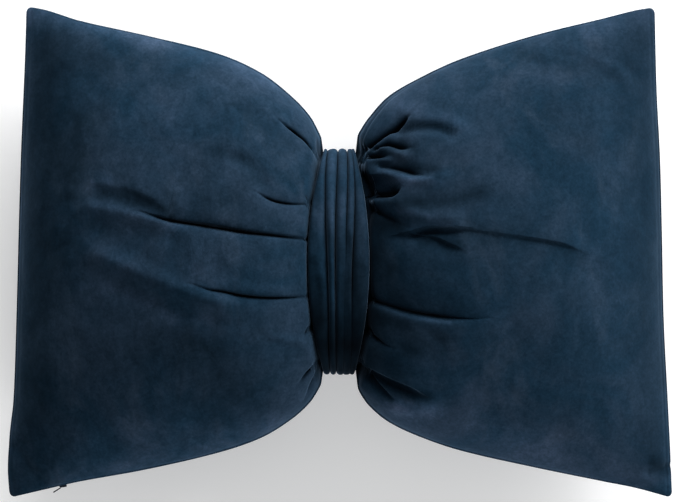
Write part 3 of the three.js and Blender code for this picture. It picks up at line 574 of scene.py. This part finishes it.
    def row_angles(self, name, side, v, rows):
        """Each column's row angles: evenly spaced over the cloth, and drawn together along each fold."""
        fine = np.linspace(-math.pi / 2, math.pi / 2, ROW_SAMPLES)
        rising = LOBE_FULLNESS * np.sin(fine) * np.cos(fine) ** 0.35 + 4
        cloth = np.hypot(LOBE_HALF_HEIGHT * np.cos(fine), rising)
        dense = np.tile(cloth, (len(v), 1))
        lobe = self.lobes[name]
        for fold in self.folds[side] + self.ledges[side]:
            line = line_through(fold.path)
            if np.sign(line[0, 0]) != lobe["sign"]:
                continue
            x, y = line.T
            upper, lower = lobe["upper"](x), lobe["lower"](x)
            angle = np.arcsin(np.clip((2 * y - upper - lower) / (upper - lower), -0.98, 0.98))
            start = lobe["sign"] * self.half_width(name, side, angle)
            share = (x - start) / (lobe["end"](y) - start)
            at = np.interp(v, share, angle)[:, None]
            pull = ROW_PULL * (1 - smooth(v, share[-1] - 0.02, share[-1] + 0.12))[:, None]
            dense += cloth * pull * np.exp(-(((fine - at) / ROW_PULL_REACH) ** 2))
        run = np.cumsum((dense[:, 1:] + dense[:, :-1]) / 2, axis=1)
        run = np.concatenate([np.zeros((len(v), 1)), run], axis=1)
        wanted = np.linspace(0, 1, rows + 1)
        return np.stack([np.interp(wanted * total[-1], total, fine) for total in run])

    def panel(self, side, columns, rows):
        """One panel's points, in columns from left to right and in rows from its lower to its upper seam."""
        share = np.linspace(0, 1, columns + 1)
        v = share - COLUMN_PULL * np.sin(2 * math.pi * share)
        lobes, at_band = {}, {}
        for name in self.lobes:
            angles = self.row_angles(name, side, v, rows)
            lobes[name] = self.point(name, side, np.repeat(v[:, None], rows + 1, axis=1), angles)
            at_band[name] = angles[0]
        waist = []
        for across in np.linspace(0, 1, WAIST_COLUMNS + 1)[1:-1]:
            left, right = lobes["left"][0], lobes["right"][0]
            angle = mix(at_band["left"], at_band["right"], across)
            rise = (self.half_seam + self.rim[side] * np.cos(angle)) * (1 if side == "front" else -1)
            x = mix(left[:, 0], right[:, 0], across)
            y = self.waist_y + self.waist_half_height * np.sin(angle)
            waist.append(np.stack([x, y, self.seam_height + rise], axis=1))
        return np.concatenate([lobes["left"][::-1], np.array(waist), lobes["right"]])


# Meshes


def mesh_piece(name, points, faces, material, nap_and_light_strokes):
    """A smooth-shaded object from points in millimetres, with the nap's own shade and its painted light and
    shade at each point.
    """
    mesh = bpy.data.meshes.new(name)
    mesh.from_pydata((np.asarray(points) * MM).tolist(), [], faces)
    mesh.validate()
    mesh.polygons.foreach_set("use_smooth", [True] * len(mesh.polygons))
    mesh.materials.append(material)
    x, y, z = np.asarray(points, float).T
    level = STROKE_LEVEL - STROKE_LEVEL_DROOP * (np.abs(x) / HALF_LENGTH) ** 2
    shade = np.where(z > level, nap_and_painted_light(nap_and_light_strokes, x, y), 1)
    # The "nap" attribute holds painted shadows and highlights as well as the nap's own shade.
    mesh.attributes.new("nap", "FLOAT", "POINT").data.foreach_set("value", shade)
    piece = bpy.data.objects.new(name, mesh)
    bpy.context.scene.collection.objects.link(piece)
    return piece


def grid_faces(grid, flip=False):
    """The quads of a grid of vertex numbers."""
    a, b, c, d = grid[:-1, :-1], grid[1:, :-1], grid[1:, 1:], grid[:-1, 1:]
    corners = (a, d, c, b) if flip else (a, b, c, d)
    return np.stack([k.ravel() for k in corners], axis=1).tolist()


def rim_of(grid):
    """A grid's outer vertex numbers, anticlockwise from its lower left corner."""
    return np.concatenate([grid[:-1, 0], grid[-1, :-1], grid[:0:-1, -1], grid[0, :0:-1]])


def cushion_piece(form, cushion, material):
    """The filled cover: a front and a back panel, joined by a rolled seam all round."""
    front = form.panel("front", cushion.columns, cushion.rows)
    back = form.panel("back", cushion.columns, cushion.rows)
    count = front.shape[0] * front.shape[1]
    front_grid = np.arange(count).reshape(front.shape[:2])
    back_grid = front_grid + count
    points = np.concatenate([front.reshape(-1, 3), back.reshape(-1, 3)])
    faces = grid_faces(front_grid) + grid_faces(back_grid, flip=True)
    upper, lower = rim_of(front_grid), rim_of(back_grid)
    edge = (points[upper] + points[lower]) / 2
    run = np.roll(edge, -1, axis=0) - np.roll(edge, 1, axis=0)
    out = np.stack([run[:, 1], -run[:, 0], np.zeros(len(run))], axis=1)
    out /= np.linalg.norm(out, axis=1, keepdims=True)
    previous = lower
    for turn in np.radians((-60, -25, 0, 25, 60)):
        ring = edge + out * form.roll * math.cos(turn)
        ring[:, 2] += (points[upper][:, 2] - edge[:, 2]) * math.sin(turn)
        number = len(points) + np.arange(len(ring))
        points = np.concatenate([points, ring])
        faces += ring_faces(previous, number)
        previous = number
    faces += ring_faces(previous, upper)
    return mesh_piece("velvet_cushion", points, faces, material, CUSHION_NAP_AND_PAINTED_LIGHT)


def ring_faces(lower, upper):
    """The quads between two closed rings of vertex numbers."""
    return np.stack([lower, np.roll(lower, -1), np.roll(upper, -1), upper], axis=1).tolist()


def band_piece(form, band, material):
    """The band: a loop of pleated cloth, widest on the front and drawn together at its two ends."""
    stations = band.stations
    angle = np.linspace(0, 2 * math.pi, stations, endpoint=False)
    level = np.sin(angle)
    is_front = np.cos(angle) >= 0
    thickness = band.thickness / MM
    left, right = (
        np.where(is_front, form.half_width(name, "front", angle), form.half_width(name, "back", angle))
        for name in ("left", "right")
    )
    stops = [1 - k / 2 for k in range(5)]
    places = [np.full(stations, -1.0)]
    depths = [np.full(stations, BAND_EDGE_DEPTH["left"] * thickness)]
    for groove in BAND_GROOVES:
        place = curve_through(list(zip(stops, groove.place)))(level)
        places.append(place * mix(1, BACK_GROOVE_NARROWING, smooth(-np.cos(angle), 0, 0.5)))
        depths.append(curve_through(list(zip(stops, groove.depth)))(level))
    places.append(np.full(stations, 1.0))
    depths.append(np.full(stations, BAND_EDGE_DEPTH["right"] * thickness))
    shares, heights = [], []
    within = np.linspace(-1, 1, band.steps + 1)
    for k in range(len(places) - 1):
        for u in within[:-1] if k < len(places) - 2 else within:
            shares.append(mix(places[k], places[k + 1], (u + 1) / 2))
            depth = depths[k] if u < 0 else depths[k + 1]
            heights.append(-depth * (1 - (1 - abs(u) ** PLEAT_POWER) ** PLEAT_ROUNDNESS))
    for u in np.linspace(BAND_INNER_REACH, -BAND_INNER_REACH, BAND_INNER_STEPS):
        shares.append(np.full(stations, u))
        heights.append(np.full(stations, -thickness))
    shares, heights = np.array(shares), np.array(heights)
    x = np.where(shares < 0, shares * left, shares * right)
    outer = heights > -thickness + 1e-6
    sway = BAND_SWAY * ripple(x * 3, np.tile(angle * 90, (len(x), 1)), *BAND_SWAY_WAVES)
    heights = heights + np.where(outer, sway, 0)
    depth = np.where(is_front, band.front, band.back) / MM
    swell = (1 - np.abs(level) ** BAND_ROUNDNESS) ** (1 / BAND_ROUNDNESS)
    rise = form.half_seam * np.minimum(1, 4 * swell) + (depth + heights) * swell
    y = form.waist_y + (band.half_height / MM + heights) * level
    z = form.seam_height + np.where(is_front, rise, -rise)
    points = np.stack([x, y, z], axis=-1)
    numbers = np.arange(points.shape[0] * points.shape[1]).reshape(points.shape[:2])
    faces = []
    for k in range(len(numbers)):
        faces += ring_faces(numbers[k], numbers[(k + 1) % len(numbers)])
    return mesh_piece("pleated_band_cloth", points.reshape(-1, 3), faces, material, BAND_NAP_AND_PAINTED_LIGHT)


# Materials


def node_of(tree, kind, **values):
    """A node with the given settings and input values."""
    node = tree.nodes.new(kind)
    for key, value in values.items():
        if key in node.inputs:
            node.inputs[key].default_value = value
        else:
            setattr(node, key, value)
    return node


def blended(tree, kind, share, first, second):
    """A colour mix. share, first and second are sockets or plain values."""
    node = tree.nodes.new("ShaderNodeMix")
    node.data_type = "RGBA"
    node.blend_type = kind
    for index, value in ((0, share), (6, first), (7, second)):
        if isinstance(value, bpy.types.NodeSocket):
            tree.links.new(value, node.inputs[index])
        else:
            node.inputs[index].default_value = value
    return node.outputs[2]


def product(tree, sockets):
    """The product of some grey values."""
    total = sockets[0]
    for socket in sockets[1:]:
        node = node_of(tree, "ShaderNodeMath", operation="MULTIPLY")
        tree.links.new(total, node.inputs[0])
        tree.links.new(socket, node.inputs[1])
        total = node.outputs[0]
    return total


def ramp_of(tree, source, stops):
    """A ramp of grey levels or colours over a socket's value."""
    node = tree.nodes.new("ShaderNodeValToRGB")
    node.color_ramp.interpolation = "EASE"
    while len(node.color_ramp.elements) < len(stops):
        node.color_ramp.elements.new(0.5)
    for element, (place, colour) in zip(node.color_ramp.elements, stops):
        element.position = place
        element.color = (*colour, 1) if hasattr(colour, "__len__") else (colour, colour, colour, 1)
    tree.links.new(source, node.inputs[0])
    return node.outputs[0]


def noise_of(tree, place, scale, detail=3.0, roughness=0.5, distortion=0.0, stretch=None, turn=0.0):
    """A noise over the object's own coordinates. Its scale is in cycles per metre."""
    if stretch:
        mapping = tree.nodes.new("ShaderNodeMapping")
        mapping.inputs["Scale"].default_value = stretch
        mapping.inputs["Rotation"].default_value = (0, 0, turn)
        tree.links.new(place, mapping.inputs["Vector"])
        place = mapping.outputs[0]
    settings = {"Scale": scale, "Detail": detail, "Roughness": roughness, "Distortion": distortion}
    node = node_of(tree, "ShaderNodeTexNoise", **settings)
    tree.links.new(place, node.inputs["Vector"])
    return node.outputs[0]


def uneven_share(tree, place):
    """How uneven the nap is: fully so on the left lobe, and calmer to the right."""
    split = tree.nodes.new("ShaderNodeSeparateXYZ")
    tree.links.new(place, split.inputs[0])
    share = node_of(tree, "ShaderNodeMapRange", interpolation_type="SMOOTHSTEP")
    for index, value in enumerate(CALMING, 1):
        share.inputs[index].default_value = value
    tree.links.new(split.outputs[0], share.inputs[0])
    return share.outputs[0]


def velvet(name, look, shade):
    """Navy velvet: a short nap with brushing marks, patches that lie different ways and a fine pile, with
    painted shade in its creases and the painted light and shade of its nap attribute.
    """
    material = bpy.data.materials.new(name)
    material.use_nodes = True
    tree = material.node_tree
    tree.nodes.clear()
    place = tree.nodes.new("ShaderNodeTexCoord").outputs["Object"]
    deep, base, lit = ((*[c * shade for c in colour], 1) for colour in (look.deep, look.base, look.lit))
    patches = noise_of(tree, place, *PATCHES)
    brushing = noise_of(tree, place, *BRUSHING)
    pile = noise_of(tree, place, *PILE)
    colour = blended(tree, "MIX", ramp_of(tree, patches, [(0.34, 0.0), (0.66, 1.0)]), deep, base)
    colour = blended(tree, "MIX", ramp_of(tree, brushing, [(0.52, 0.0), (0.78, 0.7)]), colour, lit)
    calm = uneven_share(tree, place)
    marks = noise_of(tree, place, *MARKS)
    mottle = noise_of(tree, place, *MOTTLE)
    # Painted shade: the colour darkens to a tenth where the surface is hemmed in, in creases, folds and beside
    # the band.
    painted_crease_shade = node_of(tree, "ShaderNodeAmbientOcclusion", Distance=0.02, samples=4)
    # The colour's shade: the painted shade of the creases and the painted light and shade of the nap
    # attribute, times the nap's random marks, mottle and pile.
    painted_shade_and_nap = product(tree, (
        node_of(tree, "ShaderNodeAttribute", attribute_name="nap").outputs["Fac"],
        ramp_of(tree, painted_crease_shade.outputs["AO"], [(0.45, 0.1), (0.95, 1.0)]),
        blended(tree, "MIX", calm, (1, 1, 1, 1), ramp_of(tree, marks, [(0.25, 0.82), (0.75, 1.18)])),
        ramp_of(tree, mottle, [(0.25, 0.88), (0.75, 1.12)]),
        ramp_of(tree, pile, [(0.25, 0.84), (0.75, 1.16)]),
    ))
    # The shade is tinted: red falls fastest, so the painted shade and the nap's dark parts turn a deeper teal.
    painted_shade_and_nap_colour = tree.nodes.new("ShaderNodeCombineColor")
    for channel, power in (("Red", 1.3), ("Green", 1.0), ("Blue", 0.97)):
        level = node_of(tree, "ShaderNodeMath", operation="POWER")
        tree.links.new(painted_shade_and_nap, level.inputs[0])
        level.inputs[1].default_value = power
        tree.links.new(level.outputs[0], painted_shade_and_nap_colour.inputs[channel])
    colour = blended(tree, "MULTIPLY", 1.0, colour, painted_shade_and_nap_colour.outputs[0])
    shader = node_of(tree, "ShaderNodeBsdfPrincipled")
    shader.inputs["Roughness"].default_value = 0.9
    shader.inputs["Specular IOR Level"].default_value = 0.02
    shader.inputs["Sheen Weight"].default_value = look.sheen
    shader.inputs["Sheen Roughness"].default_value = look.sheen_roughness
    shader.inputs["Sheen Tint"].default_value = (*look.sheen_tint, 1)
    tree.links.new(colour, shader.inputs["Base Color"])
    lean = node_of(tree, "ShaderNodeBump", Distance=0.0022)
    lean_share = node_of(tree, "ShaderNodeMath", operation="MULTIPLY")
    lean_share.inputs[1].default_value = 0.5
    tree.links.new(calm, lean_share.inputs[0])
    tree.links.new(lean_share.outputs[0], lean.inputs["Strength"])
    tree.links.new(noise_of(tree, place, *LEAN), lean.inputs["Height"])
    fibres = node_of(tree, "ShaderNodeBump", Strength=0.35, Distance=0.0003)
    tree.links.new(pile, fibres.inputs["Height"])
    tree.links.new(lean.outputs[0], fibres.inputs["Normal"])
    tree.links.new(fibres.outputs[0], shader.inputs["Normal"])
    output = tree.nodes.new("ShaderNodeOutputMaterial")
    tree.links.new(shader.outputs[0], output.inputs[0])
    return material


def enamel(name, colour):
    """Dark enamel over metal, a little worn and uneven."""
    material = bpy.data.materials.new(name)
    material.use_nodes = True
    tree = material.node_tree
    shader = tree.nodes["Principled BSDF"]
    shader.inputs["Metallic"].default_value = 0.5
    place = tree.nodes.new("ShaderNodeTexCoord").outputs["Object"]
    wear = noise_of(tree, place, *WEAR)
    bright = tuple(min(1, c * 2.2) for c in colour)
    tree.links.new(ramp_of(tree, wear, [(0.45, tuple(colour)), (0.8, bright)]), shader.inputs["Base Color"])
    tree.links.new(ramp_of(tree, wear, [(0.3, 0.35), (0.8, 0.55)]), shader.inputs["Roughness"])
    return material


def plain(name, colour, roughness, glow):
    """A plain surface that also glows softly in its own colour."""
    material = bpy.data.materials.new(name)
    material.use_nodes = True
    shader = material.node_tree.nodes["Principled BSDF"]
    shader.inputs["Base Color"].default_value = (*colour, 1)
    shader.inputs["Roughness"].default_value = roughness
    shader.inputs["Emission Color"].default_value = (*colour, 1)
    shader.inputs["Emission Strength"].default_value = glow
    return material


# Sizes and looks that a user would change


def length(name, description, default):
    settings = {"name": name, "description": description, "default": default}
    return FloatProperty(**settings, subtype="DISTANCE", unit="LENGTH")


def tint(name, description, default):
    settings = {"name": name, "description": description, "default": default}
    return FloatVectorProperty(**settings, subtype="COLOR", min=0, max=1)


def whole(name, description, default, low, high):
    return IntProperty(name=name, description=description, default=default, min=low, max=high)


def fraction(name, description, default, high=1):
    return FloatProperty(name=name, description=description, default=default, min=0, max=high)


class CushionSizes(bpy.types.PropertyGroup):
    """The filled cover's sizes."""

    seam_height: length("Seam height", "Height of the edge seam above the surface, at the middle", 0.064)
    crown_up: length("Front crown", "Height of each lobe's crown above the edge seam", 0.075)
    crown_down: length("Back crown", "Depth of each lobe below the edge seam, before it is pressed", 0.075)
    seam_thickness: length("Seam thickness", "Thickness of the two layers of cloth at the edge seam", 0.0026)
    seam_roll: length("Seam roll", "How far the rolled seam stands out", 0.0012)
    left_brim: length("Left brim", "How far the left lobe swells up right beside the band", 0.008)
    right_brim: length("Right brim", "How far the right lobe swells up right beside the band", 0.002)
    end_droop: length("End droop", "How far the end seams droop", 0.009)
    corner_droop: length("Corner droop", "How much further the corners droop", 0.007)
    corner_radius: length("Corner radius", "Radius of the outline's corners", 0.0045)
    columns: whole("Columns", "Mesh columns in each lobe", 112, 20, 200)
    rows: whole("Rows", "Mesh rows over each panel", 200, 20, 240)


class BandSizes(bpy.types.PropertyGroup):
    """The pleated band's sizes."""

    centre: length("Centre", "Where the band's middle lies along Y", -0.0096)
    half_height: length("Half height", "Half of the band's length over the front", 0.1016)
    front: length("Front depth", "How far the band's front stands above the edge seam", 0.050)
    back: length("Back depth", "How far the band's back lies below the edge seam", 0.045)
    thickness: length("Thickness", "Thickness of the pleated cloth", 0.0064)
    gap: length("Gap", "Room between the band and the cushion", 0.0005)
    end_half_width: length("End half width", "Half width where the band turns over at its two ends", 0.014)
    left_half_width: length("Left half width", "Widest reach of the front to the left", 0.028)
    right_half_width: length("Right half width", "Widest reach of the front to the right", 0.0265)
    back_half_width: length("Back half width", "Widest reach of the back to each side", 0.021)
    stations: whole("Stations", "Mesh rings round the loop", 300, 24, 400)
    steps: whole("Steps", "Mesh steps across each pleat", 18, 4, 24)


class VelvetLook(bpy.types.PropertyGroup):
    """The velvet's colours and sheen."""

    deep: tint("Deep navy", "Colour where the nap lies away", (0.0050, 0.0175, 0.0332))
    base: tint("Navy", "Colour of most of the cloth", (0.0128, 0.0265, 0.0466))
    lit: tint("Lit navy", "Colour where the nap stands up", (0.0203, 0.0360, 0.0590))
    sheen_tint: tint("Sheen", "Colour of the nap's sheen", (0.28, 0.45, 0.68))
    sheen: fraction("Sheen weight", "Strength of the nap's sheen", 0.25)
    sheen_roughness: fraction("Sheen softness", "Spread of the sheen", 0.4)
    band_shade: fraction("Band shade", "The band's brightness against the cushion's", 0.95, 2)
    zip_colour: tint("Zip enamel", "Colour of the zip's slider and pull", (0.006, 0.012, 0.022))


class StudioLook(bpy.types.PropertyGroup):
    """The floor, the lights and the camera."""

    floor: tint("Floor", "Colour of the floor", (0.92, 0.92, 0.92))
    floor_glow: fraction("Floor glow", "Strength of the floor's own light", 0.25, 10)
    sky: fraction("Fill", "Strength of the even light from all round", 0.22, 10)
    key: FloatProperty(
        name="Key light", description="Power of the key light, in which the others share", default=300,
        min=0, unit="POWER",
    )
    light_distance: length("Light distance", "From the floor's middle to each light", 4.5)
    distance: length("Camera distance", "From the edge seam's height up to the camera", 2.4)
    view_width: length("View width", "What the picture spans at the edge seam's height", 0.6127)


# Operators


class BOWCUSHION_OT_cushion(bpy.types.Operator):
    """Make the filled velvet cushion"""

    bl_idname = "bowcushion.cushion"
    bl_label = "Filled Cushion"

    def execute(self, context):
        scene = context.scene
        form = CushionForm(scene.bow_cushion, scene.bow_band)
        material = velvet("navy_velvet", scene.bow_velvet, 1.0)
        piece = cushion_piece(form, scene.bow_cushion, material)
        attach(piece, "root")
        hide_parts("cushion_body")
        return {"FINISHED"}


class BOWCUSHION_OT_band(bpy.types.Operator):
    """Make the pleated band round the cushion's middle"""

    bl_idname = "bowcushion.band"
    bl_label = "Pleated Band"

    def execute(self, context):
        scene = context.scene
        form = CushionForm(scene.bow_cushion, scene.bow_band)
        material = velvet("band_navy_velvet", scene.bow_velvet, scene.bow_velvet.band_shade)
        piece = band_piece(form, scene.bow_band, material)
        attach(piece, "root")
        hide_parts("pleated_band")
        return {"FINISHED"}


class BOWCUSHION_OT_zip(bpy.types.Operator):
    """Finish the zip's slider and pull"""

    bl_idname = "bowcushion.zip"
    bl_label = "Zip"

    def execute(self, context):
        material = enamel("zip_enamel", context.scene.bow_velvet.zip_colour)
        for name in ("zip_slider", "zip_pull"):
            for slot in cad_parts[name].material_slots:
                slot.material = material
        return {"FINISHED"}


class BOWCUSHION_OT_studio(bpy.types.Operator):
    """Set up the floor, the lights and the camera"""

    bl_idname = "bowcushion.studio"
    bl_label = "Studio"

    def execute(self, context):
        scene = context.scene
        look = scene.bow_studio
        mesh = bpy.data.meshes.new("floor")
        corners = [(x * FLOOR_REACH, y * FLOOR_REACH, 0) for x, y in ((-1, -1), (1, -1), (1, 1), (-1, 1))]
        mesh.from_pydata(corners, [], [(0, 1, 2, 3)])
        mesh.materials.append(plain("pale_floor", look.floor, 0.9, look.floor_glow))
        floor = bpy.data.objects.new("floor", mesh)
        scene.collection.objects.link(floor)
        for name, azimuth, elevation, size, share in STUDIO_LIGHTS:
            data = bpy.data.lights.new(name, "AREA")
            data.energy = look.key * share
            data.size = size
            light = bpy.data.objects.new(name, data)
            turn, lift = math.radians(azimuth), math.radians(elevation)
            way = Vector((math.cos(turn) * math.cos(lift), math.sin(turn) * math.cos(lift), math.sin(lift)))
            light.location = way * look.light_distance
            light.rotation_euler = (-way).to_track_quat("-Z", "Y").to_euler()
            light.visible_camera = False
            scene.collection.objects.link(light)
        world = bpy.data.worlds.new("studio")
        world.use_nodes = True
        world.node_tree.nodes["Background"].inputs[0].default_value = SKY_COLOUR
        world.node_tree.nodes["Background"].inputs[1].default_value = look.sky
        scene.world = world
        data = bpy.data.cameras.new("camera")
        data.lens = data.sensor_width * look.distance / look.view_width
        camera = bpy.data.objects.new("camera", data)
        camera.location = (*VIEW_CENTRE[:2], VIEW_CENTRE[2] + look.distance)
        scene.collection.objects.link(camera)
        scene.camera = camera
        scene.view_settings.view_transform = "Standard"
        return {"FINISHED"}


class BOWCUSHION_PT_panel(bpy.types.Panel):
    """Lists the cushion's pieces and its sizes"""

    bl_label = "Bow Cushion"
    bl_idname = "BOWCUSHION_PT_panel"
    bl_space_type = "VIEW_3D"
    bl_region_type = "UI"
    bl_category = "Bow Cushion"

    def draw(self, context):
        scene = context.scene
        for operator in OPERATORS:
            self.layout.operator(operator.bl_idname)
        for group in (scene.bow_cushion, scene.bow_band, scene.bow_velvet, scene.bow_studio):
            box = self.layout.box()
            for key in group.bl_rna.properties.keys():
                if key not in ("rna_type", "name"):
                    box.prop(group, key)


GROUPS = {
    "bow_cushion": CushionSizes,
    "bow_band": BandSizes,
    "bow_velvet": VelvetLook,
    "bow_studio": StudioLook,
}
OPERATORS = (BOWCUSHION_OT_cushion, BOWCUSHION_OT_band, BOWCUSHION_OT_zip, BOWCUSHION_OT_studio)
CLASSES = (*GROUPS.values(), *OPERATORS, BOWCUSHION_PT_panel)


def register():
    for cls in CLASSES:
        bpy.utils.register_class(cls)
    for name, group in GROUPS.items():
        setattr(bpy.types.Scene, name, PointerProperty(type=group))


def unregister():
    for name in GROUPS:
        delattr(bpy.types.Scene, name)
    for cls in reversed(CLASSES):
        bpy.utils.unregister_class(cls)


def main():
    register()
    bpy.ops.bowcushion.cushion()
    bpy.ops.bowcushion.band()
    bpy.ops.bowcushion.zip()
    bpy.ops.bowcushion.studio()


if __name__ == "__main__":
    main()
